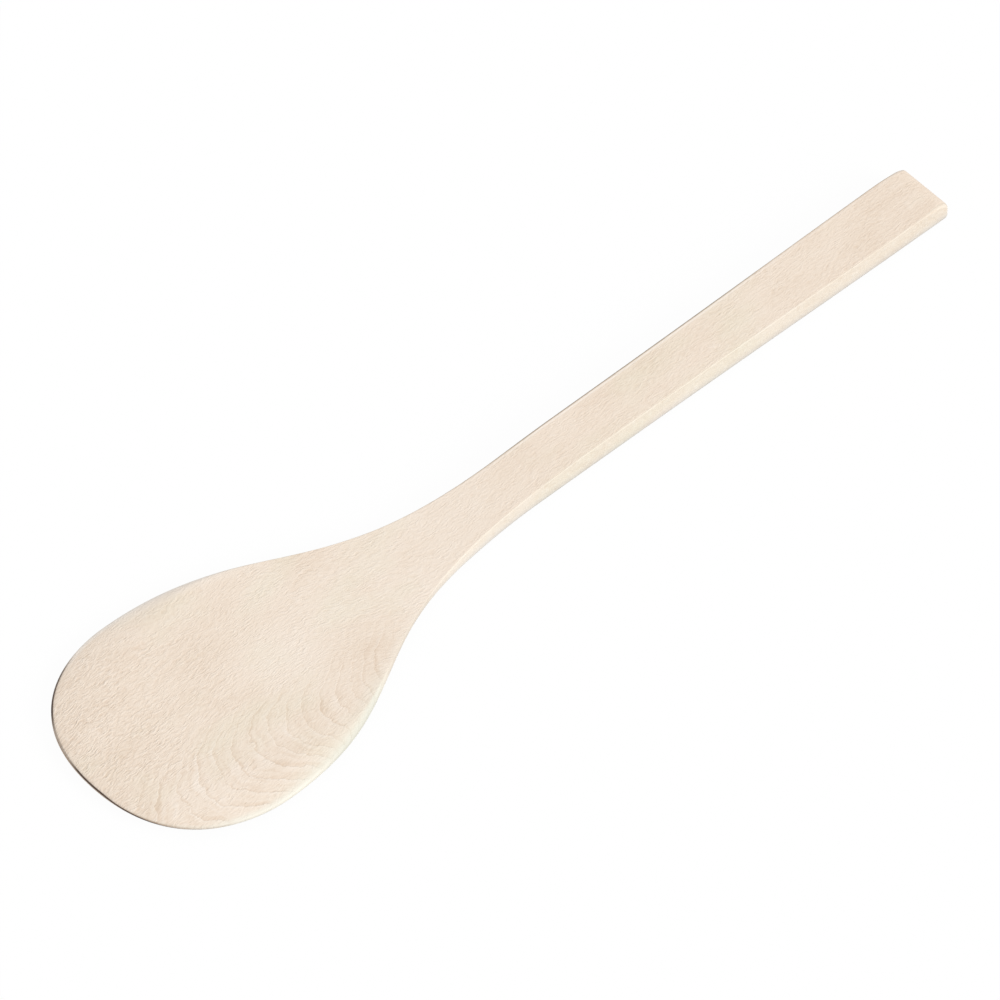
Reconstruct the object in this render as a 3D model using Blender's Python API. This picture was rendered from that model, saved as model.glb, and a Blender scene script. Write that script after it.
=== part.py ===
"""Wooden spatula, shaped from one board of beech.

It lies on its underside: the origin is below the middle of its length, on the surface that carries it,
+X runs along the handle to its end, +Y across the blade and +Z up. Lengths are in metres.
"""

import math

import bmesh
import bpy
import numpy as np

MM = 0.001

# Outline, seen from above: places are measured along the spatula from the blade's tip
overall_length = 300 * MM
blade_width = 74.7 * MM
widest_place = 36.0 * MM
tip_fullness = 33.0 * MM  # how far the tip runs squarely across before it turns back
cheek_fullness = 10.0 * MM  # how far the sides keep their width ahead of the widest place
shoulder_fullness = 49.0 * MM  # the same behind the widest place, towards the neck
waist_place = 151.5 * MM
waist_width = 15.6 * MM
neck_sweep = 70.5 * MM  # how far ahead of the waist the neck starts to open
waist_sweep = 80 * MM  # how far behind the waist the handle stays slim
end_width = 17.5 * MM
end_sweep = 40 * MM  # how far ahead of the end the handle has its full width
end_corner_radius = 1.2 * MM

# Thickness, from the surface under the spatula
handle_thickness = 8.5 * MM
blade_thickness = 5.9 * MM
tip_height = 4.6 * MM  # top of the blade just behind its rolled tip
tip_lift = 1.2 * MM  # underside there, which clears the surface
tip_lift_length = 55 * MM
blade_taper_place = 106 * MM  # the blade has its full thickness from here on
handle_full_place = 170 * MM  # the handle has its full thickness from here on

# Rim of the blade: the narrow edge between the rolled top and the rolled underside
rim_height = 3.6 * MM  # upper line of the rim
rim_width = 0.8 * MM
blade_roll = 16 * MM  # how far in from the rim the faces are rolled
top_roll_start = 22 * MM  # here the top's roll starts to narrow to the handle's crisp edge
top_rise_start = 58 * MM  # here the rim's upper line starts to rise to the handle's top
top_roll_end = 106 * MM
under_start = 88 * MM  # here the rim starts to open out into the handle's side
under_end = 132 * MM

# Edges of the handle
top_edge_radius = 0.4 * MM
under_edge_radius = 2.8 * MM
end_edge_radius = 1.5 * MM  # the top edges are sanded rounder towards the end
end_edge_length = 12 * MM  # they pass to that radius over this length
end_roll_length = 5.0 * MM  # the top rolls down to the end over this length
end_roll_height = 3.0 * MM

# Fineness of the faceted solid
tip_steps = 26
shoulder_steps = 34
handle_steps = 28
corner_steps = 4
top_steps = 6
under_steps = 5


def ramp(place, start, end):
    """0 before start, 1 after end, and an even S-curve between them."""
    t = min(max((place - start) / (end - start), 0.0), 1.0)
    return t * t * (3 - 2 * t)


def mix(a, b, share):
    return a + (b - a) * share


def bezier(p0, p1, p2, p3, shares):
    """Points of a cubic curve and its directions at these shares of it, from 0 up to 1."""
    t = shares[:, None]
    p0, p1, p2, p3 = (np.array(p) for p in (p0, p1, p2, p3))
    points = (1 - t) ** 3 * p0 + 3 * (1 - t) ** 2 * t * p1 + 3 * (1 - t) * t**2 * p2 + t**3 * p3
    tangents = (1 - t) ** 2 * (p1 - p0) + 2 * (1 - t) * t * (p2 - p1) + t**2 * (p3 - p2)
    return points, tangents


def half_outline():
    """Place, half width and steepness of the outline at each section, from the tip to the end."""
    wide, waist, end = blade_width / 2, waist_width / 2, end_width / 2
    corner = min(end_corner_radius, end / 2)
    curves = [
        bezier(
            (0, 0),
            (0, tip_fullness),
            (widest_place - cheek_fullness, wide),
            (widest_place, wide),
            np.arange(tip_steps) / tip_steps,
        ),
        bezier(
            (widest_place, wide),
            (widest_place + shoulder_fullness, wide),
            (waist_place - neck_sweep, waist),
            (waist_place, waist),
            np.arange(shoulder_steps) / shoulder_steps,
        ),
        bezier(
            (waist_place, waist),
            (waist_place + waist_sweep, waist),
            (overall_length - end_sweep, end),
            (overall_length - corner, end),
            np.sin(math.radians(90) * np.arange(handle_steps) / handle_steps),  # close together at the end
        ),
    ]
    points = [p for curve in curves for p in curve[0]]
    tangents = [t for curve in curves for t in curve[1]]
    for k in range(corner_steps + 1):
        angle = math.radians(90) * k / corner_steps
        points.append((overall_length - corner * (1 - math.sin(angle)), end - corner * (1 - math.cos(angle))))
        tangents.append((math.cos(angle), -math.sin(angle)))
    return np.array(points), np.array(tangents)


def distance_to(outline, places):
    """Shortest distance, seen from above, from each place to the closed outline."""
    start, end = outline, np.roll(outline, -1, axis=0)
    along = end - start
    length = np.maximum((along**2).sum(1), 1e-18)
    offset = places[:, None] - start[None]
    share = np.clip((offset * along[None]).sum(2) / length, 0, 1)
    return np.linalg.norm(offset - share[..., None] * along[None], axis=2).min(1)


def roll(distance, length, height):
    """Height gained by a quarter ellipse that stands upright at the rim and lies flat at its length."""
    t = min(distance / length, 1.0)
    return height * math.sqrt(1 - (1 - t) ** 2)


def crown(place):
    """Top of the spatula along its middle, before the tip's roll."""
    blade = mix(tip_height, blade_thickness, ramp(place, 0, blade_taper_place))
    return mix(blade, handle_thickness, ramp(place, blade_taper_place, handle_full_place))


def belly(place):
    """Underside along the middle: flat, and drawn up a little towards the tip."""
    return tip_lift * (1 - ramp(place, 0, tip_lift_length))


def handle_under_radius():
    """Radius of the handle's under edge, which leaves a thin handle some upright side."""
    return min(under_edge_radius, handle_thickness / 3)


def end_drop(place):
    """How far the top has rolled down towards the end."""
    upright = handle_thickness - end_edge_radius - handle_under_radius()
    height = min(end_roll_height, 0.8 * upright)
    return height - roll(overall_length - place, end_roll_length, height)


def top_roll(place):
    """Length and height of the roll between the top and the rim."""
    near_end = ramp(place, overall_length - end_edge_length, overall_length)
    edge_radius = mix(top_edge_radius, end_edge_radius, near_end)
    wide = (1 - ramp(place, top_roll_start, top_roll_end)) ** 3
    risen = ramp(place, top_rise_start, top_roll_end)
    rim = mix(rim_height, crown(place) - edge_radius, risen)
    return mix(edge_radius, blade_roll, wide), crown(place) - rim


def under_roll(place):
    """Length and height of the roll between the underside and the rim."""
    opened = ramp(place, under_start, under_end)
    rim_top = crown(place) - top_roll(place)[1]
    rim_bottom = mix(rim_top - rim_width, handle_under_radius(), opened)
    return mix(blade_roll, handle_under_radius(), opened), rim_bottom - belly(place)


def section(place, half, steepness, steps, length):
    """Half widths of one section's points, close together in the roll and none past the middle."""
    widths = []
    for k in range(steps + 1):
        inset = length * (1 - math.cos(math.radians(90) * k / steps)) * steepness
        widths.append(half - min(inset, half * k / (steps + 1)))
    return widths


def build_spatula():
    """Lofts the body through its sections, from the tip to the end of the handle."""
    points, tangents = half_outline()
    steepness = 1 / np.maximum(np.abs(tangents[:, 0]) / np.linalg.norm(tangents, axis=1), 1e-6)
    outline = np.concatenate([points, points[::-1] * (1, -1)])
    rings = []
    for (place, half), steep in zip(points, steepness):
        top = section(place, half, steep, top_steps, top_roll(place)[0])
        under = section(place, half, steep, under_steps, under_roll(place)[0])
        around = [(y, True) for y in top] + [(-y, True) for y in reversed(top)]
        around += [(-y, False) for y in under] + [(y, False) for y in reversed(under)]
        inward = distance_to(outline, np.array([(place, y) for y, _ in around]))
        ring = []
        for (y, on_top), distance in zip(around, inward):
            if on_top:
                length, height = top_roll(place)
                z = crown(place) - height + roll(distance, length, height) - end_drop(place)
            else:
                length, height = under_roll(place)
                z = belly(place) + height - roll(distance, length, height)
            ring.append((place - overall_length / 2, y, z))
        rings.append(ring)

    bm = bmesh.new()
    loops = [[bm.verts.new(point) for point in ring] for ring in rings]
    for fore, aft in zip(loops, loops[1:]):
        for k in range(len(fore)):
            j = (k + 1) % len(fore)
            bm.faces.new((fore[k], fore[j], aft[j], aft[k]))
    bm.faces.new(reversed(loops[0]))
    bm.faces.new(loops[-1])
    bmesh.ops.remove_doubles(bm, verts=bm.verts, dist=1e-6)
    bmesh.ops.recalc_face_normals(bm, faces=bm.faces)
    mesh = bpy.data.meshes.new("spatula")
    bm.to_mesh(mesh)
    bm.free()
    mesh.shade_smooth()
    mesh.set_sharp_from_angle(angle=math.radians(35))
    return mesh


def beech():
    """Pale unfinished beech, sanded and dry."""
    material = bpy.data.materials.new("sanded beech")
    material.use_nodes = True
    shader = material.node_tree.nodes["Principled BSDF"]
    shader.inputs["Base Color"].default_value = (0.85, 0.74, 0.63, 1.0)
    shader.inputs["Roughness"].default_value = 0.7
    shader.inputs["Metallic"].default_value = 0.0
    return material


def main():
    for obj in list(bpy.data.objects):
        bpy.data.objects.remove(obj, do_unlink=True)
    spatula = bpy.data.objects.new("spatula", build_spatula())
    spatula.data.materials.append(beech())
    bpy.context.scene.collection.objects.link(spatula)


main()
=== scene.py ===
# %% [markdown]
# # A wooden spatula
#
# The object is a flat cooking spatula, cut from one board of pale beech and sanded smooth. This lesson
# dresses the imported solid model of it: a finer body from Geometry Nodes, a beech made of nothing but
# procedural nodes, and the plain studio that it was photographed in. The body is measured in metres and
# the patterns of its wood in millimetres. The frame is the solid model's own: the origin lies under the
# middle of the spatula, +X runs to the handle's end and +Z points up.

# %% Load the solid model
import math

import bpy
from mathutils import Matrix, Vector


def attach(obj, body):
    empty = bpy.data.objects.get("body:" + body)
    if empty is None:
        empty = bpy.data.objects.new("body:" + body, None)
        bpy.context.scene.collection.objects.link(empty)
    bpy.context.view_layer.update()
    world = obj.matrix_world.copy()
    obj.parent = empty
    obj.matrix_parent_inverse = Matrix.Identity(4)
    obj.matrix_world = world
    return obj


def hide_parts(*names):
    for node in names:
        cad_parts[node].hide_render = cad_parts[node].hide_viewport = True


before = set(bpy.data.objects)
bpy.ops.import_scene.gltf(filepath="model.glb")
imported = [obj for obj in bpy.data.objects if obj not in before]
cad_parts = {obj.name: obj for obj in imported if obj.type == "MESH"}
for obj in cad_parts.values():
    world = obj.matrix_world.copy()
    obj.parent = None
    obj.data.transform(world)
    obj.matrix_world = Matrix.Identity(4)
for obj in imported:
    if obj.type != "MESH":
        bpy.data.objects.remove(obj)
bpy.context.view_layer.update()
MM = 0.001

# %% [markdown]
# Two helpers serve the whole lesson. Colours are easiest to read as the hex values of a picture, but
# Blender's shaders want linear light, so one function turns the first into the second. And since every
# tree below is built in code, one function adds a node: it sets the node's properties, fills its inputs
# in order with numbers or with links, and hands back one of its outputs.


# %% Helpers
def linear(hex_colour):
    """An sRGB hex colour as linear red, green, blue and alpha."""
    channels = [int(hex_colour[k : k + 2], 16) / 255 for k in (1, 3, 5)]
    return [c / 12.92 if c <= 0.04045 else ((c + 0.055) / 1.055) ** 2.4 for c in channels] + [1.0]


def add(tree, kind, *values, out=0, stops=(), **settings):
    """Adds a node with its settings, fills its inputs (None skips one) and gives one of its outputs.
    A dict among the values fills inputs by name or number, and a list links several sockets to one.
    Stops are the positions of a colour ramp, each with its colour or its grey level."""
    node = tree.nodes.new(kind)
    for name, value in settings.items():
        setattr(node, name, value)
    if stops:
        elements = node.color_ramp.elements
        elements[0].position, elements[1].position = stops[0][0], stops[-1][0]
        for position, _ in stops[1:-1]:
            elements.new(position)
        for element, (_, level) in zip(elements, stops):
            element.color = level if isinstance(level, list) else (level, level, level, 1)
    wanted = {}
    for k, value in enumerate(values):
        wanted.update(value if isinstance(value, dict) else {k: value})
    for key, value in wanted.items():
        links = value if isinstance(value, list) and isinstance(value[0], bpy.types.NodeSocket) else [value]
        for item in links:
            if isinstance(item, bpy.types.NodeSocket):
                tree.links.new(item, node.inputs[key])
            elif item is not None:
                node.inputs[key].default_value = item
    return node.outputs[out] if node.outputs else node


MATH, VECTOR, RANGE, MIX = "ShaderNodeMath", "ShaderNodeVectorMath", "ShaderNodeMapRange", "ShaderNodeMix"
NOISE, RAMP = "ShaderNodeTexNoise", "ShaderNodeValToRGB"
print("white in linear light:", linear("#FFFFFF")[:3])

# %% [markdown]
# ## The body
#
# The real spatula is sawn to an outline, thinned at the blade and rounded off by sanding. Its shape
# follows one rule all along: the top and the underside each roll down to the outline in a quarter
# ellipse, long and low round the blade, and small and crisp along the handle. A rule like that could be
# modelled by hand from a box, but a change of one size would then mean doing it again. Geometry Nodes
# keep the rule and the sizes apart, so that is how it is made here. These sizes are the solid model's.

# %% Sizes of the body
body_sizes = {
    "overall length": 300 * MM,
    "blade width": 74.7 * MM,
    "widest place": 36.0 * MM,
    "tip fullness": 33.0 * MM,
    "cheek fullness": 10.0 * MM,
    "shoulder fullness": 49.0 * MM,
    "waist place": 151.5 * MM,
    "waist width": 15.6 * MM,
    "neck sweep": 70.5 * MM,
    "waist sweep": 80 * MM,
    "end width": 17.5 * MM,
    "end sweep": 40 * MM,
    "end corner radius": 1.2 * MM,
    "handle thickness": 8.5 * MM,
    "blade thickness": 5.9 * MM,
    "tip height": 4.6 * MM,
    "tip lift": 1.2 * MM,
    "tip lift length": 55 * MM,
    "blade taper place": 106 * MM,
    "handle full place": 170 * MM,
    "rim height": 3.6 * MM,
    "rim width": 0.8 * MM,
    "blade roll": 16 * MM,
    "top roll start": 22 * MM,
    "top rise start": 58 * MM,
    "top roll end": 106 * MM,
    "under start": 88 * MM,
    "under end": 132 * MM,
    "top edge radius": 0.4 * MM,
    "under edge radius": 2.8 * MM,
    "end edge radius": 1.5 * MM,
    "end edge length": 12 * MM,
    "end roll length": 5.0 * MM,
    "end roll height": 3.0 * MM,
}
print("named sizes:", len(body_sizes))

# %% [markdown]
# Each size becomes an input of the tree with its own name, as it would stand on a modifier's panel. The
# numbers could also go straight into the nodes, but then a new size would have to be hunted down there.

# %% The tree and its inputs
body_tree = bpy.data.node_groups.new("spatula body", "GeometryNodeTree")
body_tree.interface.new_socket("Geometry", in_out="OUTPUT", socket_type="NodeSocketGeometry")
for size_name in body_sizes:
    body_tree.interface.new_socket(size_name, in_out="INPUT", socket_type="NodeSocketFloat")
group_input = body_tree.nodes.new("NodeGroupInput")
size = {name: group_input.outputs[name] for name in body_sizes}
print("inputs of the tree:", len(size))

# %% [markdown]
# The outline of one half, seen from above, is three Bézier curves from the tip to the end, a small corner
# arc and the straight end. A curve drawn by hand could follow it too, but a Bezier Segment node can take
# its four points from the named sizes. As plain edges the curves serve twice: their points are the rows
# of the body's mesh, and their distance to any place on the body says how far that is from the rim.

# %% The outline
half_blade, half_waist, half_end = [
    add(body_tree, MATH, size[width], 0.5, operation="MULTIPLY")
    for width in ("blade width", "waist width", "end width")
]
tip_handle = add(body_tree, MATH, size["widest place"], size["cheek fullness"], operation="SUBTRACT")
shoulder_handle = add(body_tree, MATH, size["widest place"], size["shoulder fullness"], operation="ADD")
neck_handle = add(body_tree, MATH, size["waist place"], size["neck sweep"], operation="SUBTRACT")
waist_handle = add(body_tree, MATH, size["waist place"], size["waist sweep"], operation="ADD")
end_handle = add(body_tree, MATH, size["overall length"], size["end sweep"], operation="SUBTRACT")
corner_place = add(body_tree, MATH, size["overall length"], size["end corner radius"], operation="SUBTRACT")
corner_width = add(body_tree, MATH, half_end, size["end corner radius"], operation="SUBTRACT")
ARC = 0.5523  # a cubic curve with handles of this share of the radius is a quarter circle
corner_out = add(body_tree, MATH, size["end corner radius"], ARC, corner_place, operation="MULTIPLY_ADD")
corner_in = add(body_tree, MATH, size["end corner radius"], ARC, corner_width, operation="MULTIPLY_ADD")

curve_points = {  # start, start handle, end handle, end, and the rows that each gives the mesh
    "tip": [
        (0, 0),
        (0, size["tip fullness"]),
        (tip_handle, half_blade),
        (size["widest place"], half_blade),
        56,
    ],
    "shoulder": [
        (size["widest place"], half_blade),
        (shoulder_handle, half_blade),
        (neck_handle, half_waist),
        (size["waist place"], half_waist),
        64,
    ],
    "handle": [
        (size["waist place"], half_waist),
        (waist_handle, half_waist),
        (end_handle, half_end),
        (corner_place, half_end),
        140,
    ],
    "corner": [
        (corner_place, half_end),
        (corner_out, half_end),
        (size["overall length"], corner_in),
        (size["overall length"], corner_width),
        8,
    ],
    "end": [
        (size["overall length"], corner_width),
        (size["overall length"], corner_width),
        (size["overall length"], 0),
        (size["overall length"], 0),
        10,
    ],
}
outline_parts = []
for *four_points, rows in curve_points.values():
    corners = [add(body_tree, "ShaderNodeCombineXYZ", *point) for point in four_points]
    outline_parts.append(add(body_tree, "GeometryNodeCurvePrimitiveBezierSegment", rows, *corners))
row_count = sum(points[4] for points in curve_points.values()) + 1
print("rows along the half outline:", row_count)

CURVE_WELD = 0.001 * MM  # joins the end of each curve to the start of the next
# The curve that is linked last comes first in the joined points, so the tip is linked last
joined = add(body_tree, "GeometryNodeJoinGeometry", {"Geometry": outline_parts[::-1]})
outline_points = add(body_tree, "GeometryNodeResampleCurve", joined, mode="EVALUATED")
outline_pieces = add(body_tree, "GeometryNodeCurveToMesh", outline_points)
outline_edges = add(body_tree, "GeometryNodeMergeByDistance", outline_pieces, {"Distance": CURVE_WELD})

# %% [markdown]
# The body's mesh is a flat grid at first. Each row belongs to one point of the outline, and its columns
# run from the middle of the top out to the rim and back along the underside to the middle, like the
# spokes of a fan whose hub is a spine down the middle. Round the tip and the end, several spokes share a
# part of the spine. A loft through cross-sections would have been simpler, but it bunches up at the
# blunt tip, where the outline runs straight across. The columns lie close together in the roll, where
# the surface turns fast.

# %% Rows, columns and spokes
ROLL_COLUMNS = 14  # columns in the roll of each side
FLAT_COLUMNS = 14  # columns between the roll and the spine
half_columns = ROLL_COLUMNS + FLAT_COLUMNS + 1

grid = add(body_tree, "GeometryNodeMeshGrid", {"Vertices X": row_count, "Vertices Y": 2 * half_columns})
index = add(body_tree, "GeometryNodeInputIndex")
row_share = add(body_tree, MATH, index, 2 * half_columns, operation="DIVIDE")
row = add(body_tree, MATH, row_share, operation="FLOOR")
column = add(body_tree, MATH, index, 2 * half_columns, operation="MODULO")
on_top = add(body_tree, MATH, column, half_columns - 0.5, operation="LESS_THAN")
from_top_rim = add(body_tree, MATH, half_columns - 1, column, operation="SUBTRACT")
from_under_rim = add(body_tree, MATH, column, half_columns, operation="SUBTRACT")
step = add(body_tree, "GeometryNodeSwitch", on_top, from_under_rim, from_top_rim, input_type="FLOAT")

outline_position = add(body_tree, "GeometryNodeInputPosition")
row_before = add(body_tree, MATH, row, 1, operation="SUBTRACT")
row_after = add(body_tree, MATH, row, 1, operation="ADD")
place_before, outline_place, place_after = [
    add(
        body_tree,
        "GeometryNodeSampleIndex",
        outline_edges,
        outline_position,
        wanted_row,
        data_type="FLOAT_VECTOR",
        clamp=True,
    )
    for wanted_row in (row_before, row, row_after)
]
outline_way = add(body_tree, VECTOR, place_after, place_before, operation="SUBTRACT")
outline_way = add(body_tree, VECTOR, outline_way, operation="NORMALIZE")
outline_x = add(body_tree, "ShaderNodeSeparateXYZ", outline_place)

HUB_AHEAD = 20 * MM  # the tip's spokes meet the spine up to this far behind the tip
TIP_FAN = 40 * MM  # the tip's spokes are spread over this length of the outline
HUB_BEHIND, END_FAN = 6 * MM, 12 * MM  # the same at the handle's end
FAN_BEND = 2  # the power with which the spokes turn from straight across to the hub
near_tip = add(body_tree, RANGE, outline_x, 0, TIP_FAN, 1, 0)
near_end_start = add(body_tree, MATH, size["overall length"], END_FAN, operation="SUBTRACT")
near_end = add(body_tree, RANGE, outline_x, near_end_start, size["overall length"], 0, 1)
tip_bend = add(body_tree, MATH, near_tip, FAN_BEND, operation="POWER")
end_bend = add(body_tree, MATH, near_end, FAN_BEND, operation="POWER")
spine_x = add(body_tree, MATH, tip_bend, HUB_AHEAD, outline_x, operation="MULTIPLY_ADD")
spine_x = add(body_tree, MATH, end_bend, -HUB_BEHIND, spine_x, operation="MULTIPLY_ADD")
hub = add(body_tree, "ShaderNodeCombineXYZ", spine_x)
spoke = add(body_tree, VECTOR, hub, outline_place, operation="SUBTRACT")
spoke_length = add(body_tree, VECTOR, spoke, operation="LENGTH", out="Value")
spoke_way = add(body_tree, VECTOR, spoke, operation="NORMALIZE")
squarely = add(body_tree, VECTOR, spoke_way, outline_way, operation="CROSS_PRODUCT")
squareness = add(body_tree, VECTOR, squarely, operation="LENGTH", out="Value")
print("points of the half grid:", row_count * 2 * half_columns)

# %% [markdown]
# Along the length, every size of the rolls passes smoothly from its value at the blade to its value at
# the handle and then at the rounded end. Map Range with smooth steps does each of these in one node. The
# result is a set of fields, one for each size, that can be asked for at any place.

# %% Sizes that change along the length
SMOOTH = {"interpolation_type": "SMOOTHSTEP"}  # makes a Map Range pass in an even S-curve
ROLL_NARROWING = 3  # the power with which the top's roll narrows towards the handle
FLAT_SPACING = 1.5  # above 1, the columns between the roll and the spine lie closer beside the roll
end_edge_start = add(body_tree, MATH, size["overall length"], size["end edge length"], operation="SUBTRACT")


def roll_lengths(place):
    """How far in from the rim the underside and the top are rolled here, and the handle's top edge."""
    wide, under_radius = size["blade roll"], size["under edge radius"]
    crisp, eased = size["top edge radius"], size["end edge radius"]
    under = add(body_tree, RANGE, place, size["under start"], size["under end"], wide, under_radius, **SMOOTH)
    edge = add(body_tree, RANGE, place, end_edge_start, size["overall length"], crisp, eased, **SMOOTH)
    width_left = add(body_tree, RANGE, place, size["top roll start"], size["top roll end"], 1, 0, **SMOOTH)
    width_left = add(body_tree, MATH, width_left, ROLL_NARROWING, operation="POWER")
    return under, add(body_tree, RANGE, width_left, 0, 1, edge, wide), edge


reach = add(body_tree, "GeometryNodeSwitch", on_top, *roll_lengths(outline_x)[:2], input_type="FLOAT")
reach = add(body_tree, MATH, reach, squareness, operation="DIVIDE")
reach = add(body_tree, MATH, reach, spoke_length, operation="MINIMUM")
roll_step = add(body_tree, RANGE, step, 0, ROLL_COLUMNS, 0, math.radians(90))
flat_share = add(body_tree, RANGE, step, ROLL_COLUMNS, ROLL_COLUMNS + FLAT_COLUMNS, 0, 1)
roll_cosine = add(body_tree, MATH, roll_step, operation="COSINE")
roll_share = add(body_tree, MATH, 1, roll_cosine, operation="SUBTRACT")
beyond = add(body_tree, MATH, spoke_length, reach, operation="SUBTRACT")
flat_share = add(body_tree, MATH, flat_share, FLAT_SPACING, operation="POWER")
flat_inset = add(body_tree, MATH, beyond, flat_share, operation="MULTIPLY")
inset = add(body_tree, MATH, reach, roll_share, flat_inset, operation="MULTIPLY_ADD")
plan_offset = add(body_tree, VECTOR, spoke_way, {"Scale": inset}, operation="SCALE")
plan = add(body_tree, VECTOR, outline_place, plan_offset, operation="ADD")
print("nodes that place the body's points, seen from above:", len(body_tree.nodes))

# %% [markdown]
# Geometry Proximity measures the true distance, seen from above, from each of these places to the
# outline. The quarter ellipse turns that distance into a height: it stands upright at the rim and lies
# flat at the end of the roll. A Float Curve could hold the same form, but the formula is exact at any
# size. The first fields are the crown, the belly and the rim's two lines, which the rolls join.


# %% Heights of the crown, the belly and the rim
def quarter_ellipse(distance, length):
    """The share of its full height that a roll has risen to at this distance from where it starts."""
    left = add(body_tree, RANGE, distance, 0, length, 1, 0)
    left_squared = add(body_tree, MATH, left, left, operation="MULTIPLY")
    rest = add(body_tree, MATH, 1, left_squared, operation="SUBTRACT")
    return add(body_tree, MATH, rest, operation="SQRT")


place = add(body_tree, "ShaderNodeSeparateXYZ", plan)
taper_end, handle_start, full = size["blade taper place"], size["handle full place"], size["handle thickness"]
blade_top = add(body_tree, RANGE, place, 0, taper_end, size["tip height"], size["blade thickness"], **SMOOTH)
crown = add(body_tree, RANGE, place, taper_end, handle_start, blade_top, full, **SMOOTH)
belly = add(body_tree, RANGE, place, 0, size["tip lift length"], size["tip lift"], 0, **SMOOTH)
under_length, top_length, edge_radius = roll_lengths(place)
handle_rim = add(body_tree, MATH, crown, edge_radius, operation="SUBTRACT")
rise_start, rise_end = size["top rise start"], size["top roll end"]
rim_top = add(body_tree, RANGE, place, rise_start, rise_end, size["rim height"], handle_rim, **SMOOTH)
blade_rim = add(body_tree, MATH, rim_top, size["rim width"], operation="SUBTRACT")
open_start, open_end, under_radius = size["under start"], size["under end"], size["under edge radius"]
rim_bottom = add(body_tree, RANGE, place, open_start, open_end, blade_rim, under_radius, **SMOOTH)
top_height = add(body_tree, MATH, crown, rim_top, operation="SUBTRACT")
under_height = add(body_tree, MATH, rim_bottom, belly, operation="SUBTRACT")
print("nodes so far:", len(body_tree.nodes))

# %% [markdown]
# Each point now gets the height of its own roll. The handle's top also rolls down towards the end, where
# it has been sanded, so the same quarter ellipse is read a second time, along the length.

# %% Height of each point
to_rim = add(
    body_tree,
    "GeometryNodeProximity",
    outline_edges,
    {"Sample Position": plan},
    target_element="EDGES",
    out="Distance",
)
roll_length = add(body_tree, "GeometryNodeSwitch", on_top, under_length, top_length, input_type="FLOAT")
roll_height = add(body_tree, "GeometryNodeSwitch", on_top, under_height, top_height, input_type="FLOAT")
risen = quarter_ellipse(to_rim, roll_length)
top_z = add(body_tree, MATH, roll_height, risen, rim_top, operation="MULTIPLY_ADD")
from_end = add(body_tree, MATH, size["overall length"], place, operation="SUBTRACT")
end_left = add(body_tree, MATH, 1, quarter_ellipse(from_end, size["end roll length"]), operation="SUBTRACT")
end_drop = add(body_tree, MATH, size["end roll height"], end_left, operation="MULTIPLY")
top_z = add(body_tree, MATH, top_z, end_drop, operation="SUBTRACT")
drop = add(body_tree, MATH, roll_height, risen, operation="MULTIPLY")
under_z = add(body_tree, MATH, rim_bottom, drop, operation="SUBTRACT")
z = add(body_tree, "GeometryNodeSwitch", on_top, under_z, top_z, input_type="FLOAT")
centre_x = add(body_tree, MATH, size["overall length"], -0.5, place, operation="MULTIPLY_ADD")
plan_y = add(body_tree, "ShaderNodeSeparateXYZ", plan, out="Y")
body_place = add(body_tree, "ShaderNodeCombineXYZ", centre_x, plan_y, z)
print("nodes so far:", len(body_tree.nodes))

# %% [markdown]
# The flat grid moves to these places, and that is half a spatula. A Mirror modifier could add the other
# half. Inside the tree, a Transform with a scale of -1 across does the same, but it turns the mesh inside
# out, so its faces are flipped before the halves are joined and welded. The distance from the rim stays
# with the mesh as an attribute, because the wood reads it later, and the tree ends with its material.

# %% The finished tree
WELD = 0.01 * MM  # points that lie closer than this become one
rim_noted = add(body_tree, "GeometryNodeStoreNamedAttribute", grid, {"Name": "rim_distance", "Value": to_rim})
half = add(body_tree, "GeometryNodeSetPosition", rim_noted, {"Position": body_place})
mirrored = add(body_tree, "GeometryNodeTransform", half, {"Scale": (1, -1, 1)})
flipped = add(body_tree, "GeometryNodeFlipFaces", mirrored)
both = add(body_tree, "GeometryNodeJoinGeometry", {"Geometry": [flipped, half]})
welded = add(body_tree, "GeometryNodeMergeByDistance", both, {"Distance": WELD})
smooth = add(body_tree, "GeometryNodeSetShadeSmooth", welded)
real = add(body_tree, "GeometryNodeRealizeInstances", smooth)
# Bare beech gives the eye a pale, slightly pink and quite matt wood with short dashes along its grain
beech = bpy.data.materials.new("sanded bare beech")
finished = add(body_tree, "GeometryNodeSetMaterial", real, {"Material": beech})
add(body_tree, "NodeGroupOutput", finished)
print("nodes in the body's tree:", len(body_tree.nodes))

# %% [markdown]
# The tree runs as a modifier on an empty mesh. Its inputs are set by their identifiers before anything is
# evaluated. The modifier could stay, so that the sizes stay live, but what moves and exports the model
# wants a plain mesh. So the evaluated result becomes one, and the modifier goes.


# %% The spatula's mesh
def made_by(tree, name, values):
    """A plain mesh object made by a Geometry Nodes tree with these input values."""
    maker = bpy.data.objects.new(name, bpy.data.meshes.new(name))
    bpy.context.scene.collection.objects.link(maker)
    modifier = maker.modifiers.new("shape", "NODES")
    modifier.node_group = tree
    for item in tree.interface.items_tree:
        if item.in_out == "INPUT":
            modifier[item.identifier] = values[item.name]
    evaluated = maker.evaluated_get(bpy.context.evaluated_depsgraph_get())
    maker.data = bpy.data.meshes.new_from_object(evaluated)
    maker.modifiers.clear()
    for face in maker.data.polygons:
        face.material_index = 0
    while len(maker.data.materials) > 1:  # Set Material leaves an empty slot ahead of its own
        maker.data.materials.pop(index=0)
    return maker


spatula = made_by(body_tree, "spatula_body", body_sizes)
print("spatula:", len(spatula.data.vertices), "points,", len(spatula.data.polygons), "faces")

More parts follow.
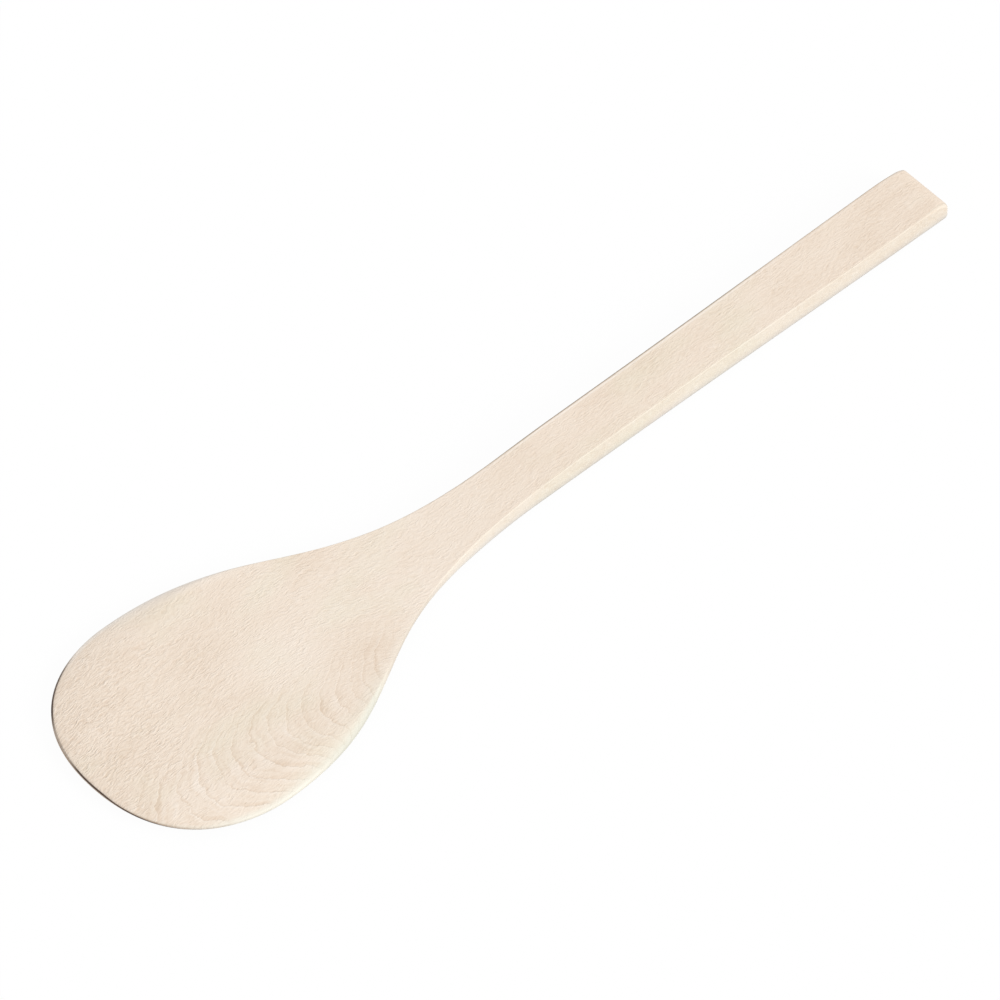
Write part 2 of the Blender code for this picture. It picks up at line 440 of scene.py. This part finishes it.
# %% [markdown]
# ## Sanded bare beech
#
# The real material is beech, planed, shaped and sanded, with no oil or varnish: pale, a little pink, and
# matt. What tells the eye that it is beech and not some other pale wood is its grain of short dashes, 2
# to 3 mm long, which lie along it everywhere. On the blade the saw has also cut the growth rings at a low
# angle, so they show as nested arches. A picture of wood could be wrapped round the body, but it would
# run straight over the edges, as on printed foil. Here the pattern is solid: every place in the wood has
# its own tone, and the surface shows whatever lies there, as if it had been cut free.
#
# The first nodes turn Object coordinates into millimetres of wood, and read a few slow noises there.
# Each noise is stretched along the board, because wood changes more slowly along its grain.

# %% Where a place lies in the wood
beech.use_nodes = True
wood = beech.node_tree
wood.nodes.clear()

object_place = add(wood, "ShaderNodeTexCoord", out="Object")
in_mm = add(wood, VECTOR, object_place, {"Scale": 1 / MM}, operation="SCALE")
wood_x, wood_y, wood_z = add(wood, "ShaderNodeSeparateXYZ", in_mm).node.outputs

slow_sizes = {  # how far each slow noise is stretched along X, Y and Z, in millimetres
    "wander": (38, 22, 22),
    "ring bend": (9, 6, 9),
    "ring tremble": (2.4, 1.4, 3),
    "fibre bend": (3.5, 2.5, 5),
    "clouds": (15, 8, 10),
    "patchiness": (7, 4, 7),
    "hue": (24, 13, 15),
}
slow = {}
for noise_name, stretch in slow_sizes.items():
    stretched = add(wood, VECTOR, in_mm, tuple(1 / length for length in stretch), operation="MULTIPLY")
    pattern = add(wood, NOISE, stretched, {"Scale": 1.0, "Detail": 2.0})
    slow[noise_name] = add(wood, MATH, pattern, 0.5, operation="SUBTRACT")
print("slow noises:", ", ".join(slow))

# %% [markdown]
# No fibre runs quite straight. On this board they lean one way at the tip and the other way at the neck,
# and they wander a little all along. A Wave Texture has a distortion for that, but it bends only its own
# pattern. Here the place itself is pushed aside before any pattern reads it, so flecks, fibres and
# streaks all bend together.

# %% The bend of the grain
WANDER, FIBRE_BEND = 5.0, 1.9  # how far the slow and the quick noise push a fibre aside, in millimetres
TIP_LEAN = (-200, -85, -5, 0)  # from x to x, and how far aside the grain lies there, in millimetres
NECK_LEAN = (-84, -30, 0, -9)

tip_lean = add(wood, RANGE, wood_x, *TIP_LEAN)
neck_lean = add(wood, RANGE, wood_x, *NECK_LEAN, **SMOOTH)
lean = add(wood, MATH, tip_lean, neck_lean, operation="ADD")
wander = add(wood, MATH, slow["wander"], WANDER, lean, operation="MULTIPLY_ADD")
across = add(wood, MATH, wood_y, wander, operation="SUBTRACT")
across = add(wood, MATH, slow["fibre bend"], FIBRE_BEND, across, operation="MULTIPLY_ADD")
along_grain = add(wood, "ShaderNodeCombineXYZ", wood_x, across, wood_z)
print("the grain leans aside by up to, mm:", max(abs(TIP_LEAN[2]), abs(NECK_LEAN[3])))

# %% [markdown]
# A growth ring ends in a thin, dark line of dense latewood, and the next one starts just beyond it. Where
# the blade's face cuts the rings at a low angle, each line is an arch. Rings round a far-off pith would
# give such arches by themselves, but their shape would be hard to steer, so all arches here are the same
# parabola, one behind the other. Their spacing shrinks from nearly 8 mm by the tip to about 4 mm further
# back, and every place gets the number of the ring that it lies in. Two noises keep the lines from
# looking drawn with a ruler.

# %% The arches of the growth rings
ARCH_AXIS = -22.5  # the arches' line of symmetry, in millimetres from the middle
AXIS_DRIFT = (-112, -72, 0, 5)  # from x to x, and how far that line has moved aside there
ARCH_STEEPNESS = 0.062  # how fast an arch falls back from its point, per millimetre squared
ARCH_REACH = 26  # beyond this many millimetres from the axis an arch runs straight
RING_TILT = -2.2  # how far the rings shift along the board for each millimetre of depth
FACE_HEIGHT = 5.2  # height of the blade's face, at which the arches were measured
RING_START = -150  # x of the first ring, in millimetres
RING_RATE, RING_CROWDING = 0.1295, 0.000709  # rings to the millimetre there, and how they crowd further on
RING_BEND, RING_TREMBLE = 6.0, 1.8  # how far, in millimetres, the two noises push a ring's line

axis_drift = add(wood, RANGE, wood_x, *AXIS_DRIFT, **SMOOTH)
from_axis = add(wood, MATH, wood_y, ARCH_AXIS, operation="SUBTRACT")
from_axis = add(wood, MATH, from_axis, axis_drift, operation="ADD")
near_axis = add(wood, MATH, from_axis, ARCH_REACH, operation="MINIMUM")
past_reach = add(wood, MATH, from_axis, near_axis, operation="SUBTRACT")
arch = add(wood, MATH, near_axis, near_axis, operation="MULTIPLY")
arch = add(wood, MATH, arch, ARCH_STEEPNESS, operation="MULTIPLY")
arch = add(wood, MATH, past_reach, 2 * ARCH_STEEPNESS * ARCH_REACH, arch, operation="MULTIPLY_ADD")
ring_x = add(wood, MATH, wood_x, arch, operation="SUBTRACT")
ring_pushes = [(slow["ring bend"], RING_BEND), (slow["ring tremble"], RING_TREMBLE), (wood_z, RING_TILT)]
for source, push in ring_pushes:
    ring_x = add(wood, MATH, source, push, ring_x, operation="MULTIPLY_ADD")
ring_x = add(wood, MATH, ring_x, -RING_START - RING_TILT * FACE_HEIGHT, operation="ADD")
ring_rate = add(wood, MATH, ring_x, RING_CROWDING, RING_RATE, operation="MULTIPLY_ADD")
ring_count = add(wood, MATH, ring_x, ring_rate, operation="MULTIPLY")
ring_share = add(wood, MATH, ring_count, operation="FRACT")
print("spacing of the first rings, mm:", round(1 / RING_RATE, 1))

# %% [markdown]
# Each line starts sharply, and behind it the wood lightens slowly until the next one. A formula could
# say that, but a Color Ramp shows the curve and draws it for every ring at once, because it reads only
# the fraction of the ring's number. Not every ring shows as strongly, which a second ramp sets along the
# board, and far from the axis, where the face cuts the rings nearly at a right angle, they fade.

# %% Tone of the rings
RING_PROFILE = [  # place within a ring, from its line on, and how dark the wood is there
    (0.0, 0.95),
    (0.04, 0.98),
    (0.13, 0.70),
    (0.26, 0.53),
    (0.6, 0.47),
    (0.86, 0.28),
    (0.96, 0.1),
    (1.0, 0.5),
]
LAST_RING = 90  # millimetres from the first ring to where the last one has faded
RING_STRENGTHS = [  # place between the first ring and the last, and how strongly the rings show there
    (0, 0.6),
    (0.08, 1.0),
    (0.15, 1.0),
    (0.235, 0.9),
    (0.29, 0.85),
    (0.365, 1.0),
    (0.42, 0.95),
    (0.5, 0.85),
    (0.58, 0.6),
    (0.66, 0.9),
    (0.75, 0.5),
    (0.82, 0.9),
    (0.95, 0),
]
RING_FADE = (7, 19, 1, 0.1)  # from and to in millimetres off the axis, and the strength left there

along_rings = add(wood, RANGE, ring_x, 0, LAST_RING, 0, 1)
ring_by_ring = add(wood, RAMP, along_rings, stops=RING_STRENGTHS)
ring_near = add(wood, RANGE, from_axis, *RING_FADE, **SMOOTH)
ring_strength = add(wood, MATH, ring_near, ring_by_ring, operation="MULTIPLY")
ring_profile = add(wood, RAMP, ring_share, stops=RING_PROFILE)
ring_tone = add(wood, MATH, ring_profile, 0.5, operation="SUBTRACT")
ring_tone = add(wood, MATH, ring_tone, ring_strength, operation="MULTIPLY")
print("stops that draw a ring:", len(RING_PROFILE))

# %% [markdown]
# The rays are thin sheets that run from the pith to the bark, and the face cuts them as dashes. Noise
# would give blots without an edge. Voronoi cells that are long with the grain and narrow across it give
# true dashes, each with a strength of its own, some darker and some lighter than the wood round them.

# %% Ray flecks
FLECK = (1.5, 0.45, 3.0)  # a cell's millimetres along the grain, across it and through the board
FLECK_CORE, FLECK_EDGE = 0.1, 0.55  # where a fleck starts to fade and has faded, in shares of its cell

fleck_place = add(wood, VECTOR, along_grain, tuple(1 / length for length in FLECK), operation="MULTIPLY")
cell_distance = add(wood, "ShaderNodeTexVoronoi", fleck_place, {"Scale": 1.0})
cell_luck = add(wood, "ShaderNodeSeparateColor", cell_distance.node.outputs["Color"])
fleck_shape = add(wood, RANGE, cell_distance, FLECK_CORE, FLECK_EDGE, 1, 0, **SMOOTH)
fleck_depth = add(wood, RANGE, cell_luck, 0, 1, -1, 1)
flecks = add(wood, MATH, fleck_shape, fleck_depth, operation="MULTIPLY")
print("a fleck's cell, mm:", FLECK)

# %% [markdown]
# Fibres and slow streaks are stretched noise, read from the bent grain, and close to the arches a last
# noise follows the rings. Real fibres are far thinner than a pixel, so here they are bundles 0.5 mm wide,
# just coarse enough to show. They aren't equally strong everywhere, and nor are many things further on:
# each such strength fades over some stretch of wood. Painted masks could do that, but they would need an
# unwrapped surface, so a mask here is a product of Map Ranges, and one function makes it.


# %% Fibres and streaks
def share_where(*limits):
    """A share that fades from place to place, as a product of Map Ranges. Each of them is given as what it
    reads, where it starts and ends, its values there and, for an even S-curve between them, SMOOTH."""
    share = None
    for source, start, end, at_start, at_end, *curve in limits:
        part = add(wood, RANGE, source, start, end, at_start, at_end, **(curve[0] if curve else {}))
        share = part if share is None else add(wood, MATH, share, part, operation="MULTIPLY")
    return share


ring_grain = add(wood, "ShaderNodeCombineXYZ", ring_x, from_axis, wood_z)
fine_sizes = {  # where each fine noise is read, and how far it is stretched, in millimetres
    "fibres": (along_grain, (1.7, 0.5, 1.1)),
    "streaks": (along_grain, (42, 1.8, 3.0)),
    "ring lines": (ring_grain, (1.6, 9, 4)),
}
fine = {}
for noise_name, (noise_place, stretch) in fine_sizes.items():
    stretched = add(wood, VECTOR, noise_place, tuple(1 / length for length in stretch), operation="MULTIPLY")
    pattern = add(wood, NOISE, stretched, {"Scale": 1.0, "Detail": 2.0})
    fine[noise_name] = add(wood, MATH, pattern, 0.5, operation="SUBTRACT")
ring_lines = add(wood, MATH, fine["ring lines"], ring_strength, operation="MULTIPLY")
fibre_strength = share_where(
    (wood_x, -145, -100, 1.0, 0.64),  # the tip has been worn coarser
    (wood_x, -50, 0, 1.0, 0.76),  # and the handle has been rubbed smoother
    (slow["patchiness"], -0.2, 0.2, 0.6, 1.35),
    (ring_strength, 0, 1, 1.0, 0.6),
)
fibres = add(wood, MATH, fine["fibres"], fibre_strength, operation="MULTIPLY")
print("fine noises:", ", ".join(fine))

# %% [markdown]
# No board has one tone from end to end. This one is palest towards the neck and a little duskier at the
# tip and along the handle, with soft pale and dusky patches on the blade. Noise alone would put such
# patches anywhere, so each of these is drawn as a blurred spot at its place in the wood.

# %% Pale and dusky places
lengthways = {  # from x to x in millimetres, and how much darker than plain wood it is at each
    "tip": (-90, -68, 0.02, -0.078),
    "neck": (-30, 5, 0, 0.085),
    "end": (85, 125, 0, 0.03),
}
patches = {  # x, y and radius in millimetres, and how much darker
    "pale middle": (-87, -4, 17, -0.17),
    "pale by the far rim": (-93, 30, 14, -0.04),
    "dusky by the near rim": (-66, -22, 20, 0.15),
    "dusky by the neck": (-62, 20, 18, 0.09),
    "dusky far half": (-100, 14, 13, 0.04),
    "dusky tip": (-142, 14, 28, 0.05),
    "pale by the near rim": (-125, -18, 20, -0.05),
}
drift = 0
for limits in lengthways.values():
    drift = add(wood, MATH, add(wood, RANGE, wood_x, *limits, **SMOOTH), drift, operation="ADD")
seen_from_above = add(wood, "ShaderNodeCombineXYZ", wood_x, wood_y)
for x, y, radius, darker in patches.values():
    spot = add(wood, VECTOR, seen_from_above, (x, y, 0), operation="DISTANCE", out="Value")
    spot = add(wood, RANGE, spot, 0, radius, 1, 0, **SMOOTH)
    drift = add(wood, MATH, spot, darker, drift, operation="MULTIPLY_ADD")
print("patches:", len(patches))

# %% [markdown]
# All of these are added up to one number, how much darker than plain wood a place is, and that number
# picks the colour between a pale and a dark tone of beech. Each pattern could have mixed in a colour of
# its own, but wood has only these few tones, and one ramp keeps them together.

# %% Tone and plain colour
shares = [  # each pattern, and how much darker than plain wood it makes a place at the most
    (ring_tone, 0.26),
    (ring_lines, 0.5),
    (flecks, 0.10),
    (fibres, 0.6),
    (fine["streaks"], 0.10),
    (slow["clouds"], 0.22),
]
darkness = drift
for pattern, share in shares:
    darkness = add(wood, MATH, pattern, share, darkness, operation="MULTIPLY_ADD")
tone = add(wood, RANGE, darkness, -0.5, 0.5, 0, 1)
PALE, PLAIN, DARK = "#FCF3E9", "#F0E0CF", "#D3B79B"
plain_wood = add(wood, RAMP, tone, stops=[(0, linear(PALE)), (0.5, linear(PLAIN)), (1, linear(DARK))])
print("patterns in the tone:", len(shares))

# %% [markdown]
# The plain colour is then changed here and there, by a list of shares and colours that the next cells fill. A
# slow noise makes the wood a touch cooler in places, as no board has one hue all over. Light is painted onto
# the blade's rim in places, most of all where the roll is steep: the far roll, which turns away from the
# lamp, is painted paler to lift its shade, with a fine painted highlight near its edge, and the near roll,
# which faces the lamp, is painted paler and less red, for the light that falls on it. The rim_distance
# attribute that the body's tree stored says how far in from the rim a place lies, so such a change can follow
# the rim, which a plain box or ball of a mask couldn't do.

# %% Cool places and painted light on the rims
COOL_TINT = "#F9FFFA"
cool_places = share_where((slow["hue"], 0, 0.3, 0, 0.6))
changes = [(cool_places, COOL_TINT, "MULTIPLY")]  # share, colour and how it is mixed in, in turn

rim_distance = add(wood, "ShaderNodeAttribute", attribute_name="rim_distance", out="Fac")
FAR_RIM, NEAR_RIM = (12, 22), (-12, -22)  # y in millimetres, where each half of the rim starts to count
# Painted light along the blade's rim: the far roll paler to lift its shade, a painted highlight near the far
# edge, and the lamp's light on the near roll
rim_light_zones = [  # reach inwards in millimetres, most share, x where it starts and ends, side, colour and how
    ((0.6, 4.2), 0.65, (-122, -100), (-86, -70), FAR_RIM, PALE, "MIX"),
    ((0.8, 1.5), 0.7, (-134, -122), (-86, -70), FAR_RIM, PALE, "MIX"),
    ((1.0, 5.0), 0.5, (-126, -106), (-76, -66), NEAR_RIM, "#EAE3D3", "MIX"),
    ((0.8, 3.2), 0.4, (-80, -64), (-52, -40), NEAR_RIM, "#F8F0E4", "MIX"),
    ((0.3, 1.3), 0.6, (-112, -92), (-80, -68), NEAR_RIM, "#E7F0F3", "MULTIPLY"),
    ((0.5, 1.8), 0.9, (-138, -128), (-112, -92), NEAR_RIM, "#F3EADC", "MIX"),
]
for (near, far), most, starts, ends, side, colour, blend in rim_light_zones:
    share = share_where(
        (rim_distance, near * MM, far * MM, most, 0),
        (wood_x, *starts, 0, 1, SMOOTH),
        (wood_x, *ends, 1, 0, SMOOTH),
        (wood_y, *side, 0, 1, SMOOTH),
    )
    changes.append((share, colour, blend))
print("stretches of pale rim:", len(rim_light_zones))

# %% [markdown]
# Where the surface turns, the wood is cut another way, and the light falls another way. The near side, which
# faces the lamp, is tinted a touch cooler as painted light, for the cooler light that falls on it. It is
# duller along the neck and on the handle's crisp upper edge, which hands rub, and greyer low down, where
# shade is painted in, darkest by the floor. End grain, where the fibres are cut straight across, drinks in
# light like a bundle of straws, so the handle's end is browner. Sides and ends could be faces with materials
# of their own, but on real wood these tones fade into each other, so they go by the way that the surface
# faces.

# %% Sides and ends
facing = object_place.node.outputs["Normal"]
facing_x, facing_y, _ = add(wood, "ShaderNodeSeparateXYZ", facing).node.outputs
side_cut = add(wood, MATH, facing_y, operation="ABSOLUTE")
end_cut = add(wood, MATH, facing_x, operation="ABSOLUTE")
LAMP_SIDE_TINT, NECK_TINT, EDGE_TINT, LOW_SHADE_TINT = "#F6FAFB", "#F0EDEB", "#F4F4F4", "#E2E9F5"
END_GRAIN = "#C9A27F"
NEAR_SIDE = (facing_y, -0.04, -0.4, 0, 1, SMOOTH)
LOW_DOWN = (wood_z, 1.4, 5.5, 1, 0)  # counted twice for the painted shade, so that it gathers at the bottom

neck_side = share_where(NEAR_SIDE, (wood_x, -76, -64, 0, 1, SMOOTH), (wood_x, -50, -30, 1, 0, SMOOTH))
crisp_edge = share_where(
    (side_cut, 0.5, 0.9, 1, 0, SMOOTH), NEAR_SIDE, (wood_x, -40, -10, 0, 1), (wood_z, 5, 6, 0, 1)
)
# Painted shade: the handle's side greyer low down, darkest by the floor
low_side_shade = share_where(LOW_DOWN, LOW_DOWN, (side_cut, 0.5, 0.9, 0, 1, SMOOTH), (wood_x, -75, -45, 0, 1))
end_face = share_where((end_cut, 0.6, 0.98, 0, 0.5, SMOOTH))
changes += [
    # Painted light: the near side, which faces the lamp, tinted a touch cooler for the light that falls on it
    (share_where(NEAR_SIDE), LAMP_SIDE_TINT, "MULTIPLY"),
    (neck_side, NECK_TINT, "MULTIPLY"),
    (crisp_edge, EDGE_TINT, "MULTIPLY"),
    (low_side_shade, LOW_SHADE_TINT, "MULTIPLY"),
    (end_face, END_GRAIN, "MIX"),
]
print("changes so far:", len(changes))

# %% [markdown]
# Along the far top edge of the handle runs a fine brown line of painted shade, where the edge turns away from
# the lamp, with a paler line of painted highlight beside it. A strip of mesh could carry each of them, but
# painted colour has no thickness. So both are drawn in the wood, by the distance from the rim.

# %% Painted shade and highlight on the handle's far edge
# Painted shade: a brown line where the far top edge turns away from the lamp, with a painted highlight beside
# it
FAR_EDGE_SHADE_COLOUR = "#6B5844"
SHADE_LINE = (0.3 * MM, 0.65 * MM)  # where the brown line starts to fade inwards, and where it ends
HIGHLIGHT_LINE = (0.6 * MM, 0.8 * MM, 1.0 * MM, 1.35 * MM)  # where the pale line starts, is full, fades and ends

far_top_edge = [  # both lines grow stronger behind the neck, weaker by the end, and stay on the far top
    (wood_x, -20, 14, 0.25, 1, SMOOTH),
    (wood_x, 73, 110, 1, 0.4, SMOOTH),
    (wood_y, 0, 2, 0, 1),
    (wood_z, 6, 7, 0, 0.65),
]
edge_highlight = share_where(
    *far_top_edge, (rim_distance, *HIGHLIGHT_LINE[:2], 0, 1), (rim_distance, *HIGHLIGHT_LINE[2:], 1, 0)
)
edge_shade = share_where(*far_top_edge, (rim_distance, *SHADE_LINE, 1, 0))
changes += [(edge_highlight, PALE, "MIX"), (edge_shade, FAR_EDGE_SHADE_COLOUR, "MIX")]
# the line printed here is the painted shade along the far edge
print("the burnt line reaches inwards, mm:", round(SHADE_LINE[1] / MM, 2))

# %% [markdown]
# Round the tip's rim runs a darker line, fine as a hair: painted shadow, standing in for the shade under the
# lifted tip's rim, which turns away from the lamp there. It isn't quite parallel to the rim: on the near half
# it lies below the rim's upper line, and on the far half it climbs onto the top. A curve laid on the body
# could carry it, but it would stand out as a thread. So it is drawn in the wood too: the distance from the
# rim is first counted across the rim, inwards on the top and downwards below its upper line, and then from
# the place at which the shadow line runs. A ramp sets its strength from the near side to the far side.

# %% The painted shadow line round the tip
# Painted shadow: a dark brown line for the shade under the lifted tip's rim
TIP_SHADOW_COLOUR = "#3A2214"
RIM_TOP, RIM_UNDER = 3.6, 2.8  # heights of the rim's upper and lower line at the tip, in millimetres
LINE_RISE = (-22, -4, -0.9, -0.05)  # from y to y, and how far over the rim the line lies there
LINE_TURN = (4, 14, 0, 0.28)
DEEP_SHADOW, SHADOW_FRINGE = (0.16, 0.42, 1, 0), (0.3, 0.9, 0.16, 0)  # millimetres off the line, and how dark there
SHADOW_LINE_SIDES = (-30, 34)  # y of the near side and of the far side
SHADOW_LINE_ENDS = (-133, -123)  # x where the line starts to fade, and where it has faded
SHADOW_LINE_STRENGTHS = [  # place between the near side and the far side, and how dark the line is there
    (0, 0),
    (0.07, 0.25),
    (0.156, 0.85),
    (0.28, 1),
    (0.56, 1),
    (0.63, 0.45),
    (0.78, 0.5),
    (0.86, 1),
    (1, 0.8),
]
below_line = add(wood, MATH, wood_z, RIM_TOP, operation="SUBTRACT")
below_line = add(wood, MATH, below_line, 0, operation="MINIMUM")
# Turns the distance into millimetres, and counts it the other way under the rim
top_side = add(wood, RANGE, wood_z, RIM_UNDER - 0.1, RIM_UNDER, -1 / MM, 1 / MM)
over_rim = add(wood, MATH, rim_distance, top_side, below_line, operation="MULTIPLY_ADD")
line_rise = add(wood, RANGE, wood_y, *LINE_RISE)
line_turn = add(wood, RANGE, wood_y, *LINE_TURN)
line_place = add(wood, MATH, line_rise, line_turn, operation="ADD")
from_line = add(wood, MATH, over_rim, line_place, operation="SUBTRACT")
from_line = add(wood, MATH, from_line, operation="ABSOLUTE")
deep_shadow = add(wood, RANGE, from_line, *DEEP_SHADOW)
shadow_fringe = add(wood, RANGE, from_line, *SHADOW_FRINGE)
tip_shadow = add(wood, MATH, deep_shadow, shadow_fringe, operation="MAXIMUM")
near_to_far = add(wood, RANGE, wood_y, *SHADOW_LINE_SIDES, 0, 1)
along_shadow_line = add(wood, RAMP, near_to_far, stops=SHADOW_LINE_STRENGTHS)
at_tip = share_where((wood_x, *SHADOW_LINE_ENDS, 1, 0, SMOOTH))
for mask in (along_shadow_line, at_tip):
    tip_shadow = add(wood, MATH, tip_shadow, mask, operation="MULTIPLY")
# The painted shadow round the tip's rim goes on last; the width printed below is this shadow line's
changes.append((tip_shadow, TIP_SHADOW_COLOUR, "MIX"))
print("width of the scorched line, mm:", 2 * DEEP_SHADOW[1])

# %% [markdown]
# The list is complete. Each change is a Mix node that lies over the one before it, and one loop adds them
# all, from the widest change to the finest line.

# %% The finished colour
wood_colour = plain_wood
for share, colour, blend in changes:
    wood_colour = add(
        wood, MIX, {0: share, 6: wood_colour, 7: linear(colour)}, data_type="RGBA", blend_type=blend, out=2
    )
print("changes of the plain colour:", len(changes))

# %% [markdown]
# Sanded wood is rough: light spreads over it with hardly any gloss. Sanding also leaves the fibres
# standing a few hundredths of a millimetre high, and under a low lamp that relief, more than any
# difference of colour, is what shows as grain. Real displacement would need a mesh of millions of faces
# for that, so a Bump node draws it without any more mesh.

# %% Surface
RELIEF = 0.31 * MM  # how high a difference of 1 in the patterns below would stand
WOOD_ROUGHNESS, WOOD_IOR = 0.68, 1.5
relief = 0
for pattern, height in ((flecks, -0.05), (fibres, -1.0), (ring_tone, -0.22)):  # dark wood lies lower
    relief = add(wood, MATH, pattern, height, relief, operation="MULTIPLY_ADD")
bump = add(wood, "ShaderNodeBump", {"Strength": 1.0, "Distance": RELIEF, "Height": relief})
surface = add(
    wood,
    "ShaderNodeBsdfPrincipled",
    {"Base Color": wood_colour, "Roughness": WOOD_ROUGHNESS, "IOR": WOOD_IOR, "Normal": bump},
)
add(wood, "ShaderNodeOutputMaterial", surface)
print("nodes in the beech:", len(wood.nodes))

# %% [markdown]
# The real spatula is one piece of wood, so there is nothing to divide: the finished body stands for the
# solid model's only node and moves with its only body.

# %% Onto the frame
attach(spatula, "root")
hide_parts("spatula")
print("on the frame:", spatula.name)

# %% [markdown]
# ## The studio
#
# The spatula was photographed on plain white. A floor that is simply painted white would turn grey in
# its own shading, so what the camera sees of it is mostly white light, with a share of real diffuse
# floor that keeps the spatula's soft shadow. For every other ray it is a pale floor that throws light
# back up.

# %% Floor
FLOOR_SIZE = 6.0
SHADOW_SHARE = 0.04  # the share of the real floor in what the camera sees
FLOOR_GREY, WHITE = "#BCBCBC", "#FFFFFF"  # the floor's colour for the light, and for the camera
bpy.ops.mesh.primitive_plane_add(size=FLOOR_SIZE)
floor = bpy.context.object
floor.name = "floor"
# Matt white paint gives the eye an even white with nothing but the spatula's soft shadow on it
floor_paint = bpy.data.materials.new("white studio floor")
floor_paint.use_nodes = True
paint = floor_paint.node_tree
paint.nodes.clear()
light_path = paint.nodes.new("ShaderNodeLightPath")
seen = light_path.outputs["Is Camera Ray"]
for ray in ("Is Glossy Ray", "Is Transmission Ray"):  # a mirror or glass would show the white too
    seen = add(paint, MATH, seen, light_path.outputs[ray], operation="MAXIMUM")
glow_share = add(paint, MATH, seen, 1 - SHADOW_SHARE, operation="MULTIPLY")
floor_colour = add(paint, MIX, {0: seen, 6: linear(FLOOR_GREY), 7: linear(WHITE)}, data_type="RGBA", out=2)
matt = add(paint, "ShaderNodeBsdfDiffuse", floor_colour)
glow = add(paint, "ShaderNodeEmission", (1, 1, 1, 1), 1.0)
seen_floor = add(paint, "ShaderNodeMixShader", glow_share, matt, glow)
add(paint, "ShaderNodeOutputMaterial", seen_floor)
floor.data.materials.append(floor_paint)
print("floor, m:", FLOOR_SIZE)

# %% [markdown]
# Two lights are enough. A white surround gives most of the light, as a light tent does. A low, soft lamp
# on the near side makes the handle's side and the blade's rolled rim a little brighter than the top, and
# grazes the fibres so that their relief shows. Together they add up to a level at which a colour renders
# about as it is written.

# %% Lights
SURROUND = 0.70  # strength of the white surround, where 1 is white
KEY = 0.64  # strength of the lamp on a face that looks straight at it
KEY_HEIGHT = math.radians(28)
KEY_TURN = math.radians(-72)  # from +X, seen from above
KEY_SOFTNESS = math.radians(30)  # how wide the lamp looks from the spatula

world = bpy.data.worlds.new("light tent")
bpy.context.scene.world = world
world.use_nodes = True
tent = world.node_tree
tent.nodes.clear()
tent_path = tent.nodes.new("ShaderNodeLightPath")
tent_seen = tent_path.outputs["Is Camera Ray"]
for ray in ("Is Glossy Ray", "Is Transmission Ray"):
    tent_seen = add(tent, MATH, tent_seen, tent_path.outputs[ray], operation="MAXIMUM")
tent_strength = add(tent, RANGE, tent_seen, 0, 1, SURROUND, 1.0)
tent_light = add(tent, "ShaderNodeBackground", (1, 1, 1, 1), tent_strength)
add(tent, "ShaderNodeOutputWorld", tent_light)

level = math.cos(KEY_HEIGHT)
to_key = Vector((level * math.cos(KEY_TURN), level * math.sin(KEY_TURN), math.sin(KEY_HEIGHT)))
key = bpy.data.objects.new("key lamp", bpy.data.lights.new("key lamp", "SUN"))
key.data.energy = KEY * math.pi
key.data.angle = KEY_SOFTNESS
key.rotation_euler = to_key.to_track_quat("Z", "Y").to_euler()
bpy.context.scene.collection.objects.link(key)
print("lamp, degrees above the floor:", round(math.degrees(KEY_HEIGHT)))

# %% [markdown]
# ## The camera
#
# The photograph was taken from 51 degrees above with a long lens: the handle's sides run almost
# parallel. A camera can be moved by eye until the outlines meet, but a few measured numbers are surer.
# So its place follows from its two angles, the picture's scale in pixels to the millimetre and the pixel
# at which the middle of the spatula appears.

# %% Camera
PICTURE = 1000  # pixels along each side
DISTANCE = 3000 * MM  # from the camera to TARGET
SCALE = 3.7673  # pixels to the millimetre at the spatula
ELEVATION = math.radians(51.118)
TURN = math.radians(42.357)  # from the picture's right-hand side round to +X
MIDDLE = (518.292, 484.683)  # the pixel at which TARGET appears
TARGET = Vector((0, 0, 3 * MM))

picture_right = Vector((math.cos(TURN), -math.sin(TURN), 0))
away = Vector((math.sin(TURN), math.cos(TURN), 0))
up = Vector((0, 0, 1))
forward = away * math.cos(ELEVATION) - up * math.sin(ELEVATION)
picture_up = away * math.sin(ELEVATION) + up * math.cos(ELEVATION)
off_right = (MIDDLE[0] - PICTURE / 2) / SCALE * MM
off_up = (PICTURE / 2 - MIDDLE[1]) / SCALE * MM

camera = bpy.data.objects.new("camera", bpy.data.cameras.new("camera"))
camera.data.sensor_width = 36  # the camera's own millimetres, as for the lens
camera.data.lens = SCALE / MM * DISTANCE * camera.data.sensor_width / PICTURE
camera.data.clip_start, camera.data.clip_end = 0.1, 100
turn = Matrix((picture_right, picture_up, -forward)).transposed()
camera.matrix_world = Matrix.Translation(
    TARGET - forward * DISTANCE - picture_right * off_right - picture_up * off_up
) @ turn.to_4x4()
bpy.context.scene.collection.objects.link(camera)
bpy.context.scene.camera = camera
bpy.context.scene.view_settings.view_transform = "Standard"
print("lens, mm:", round(camera.data.lens, 1))
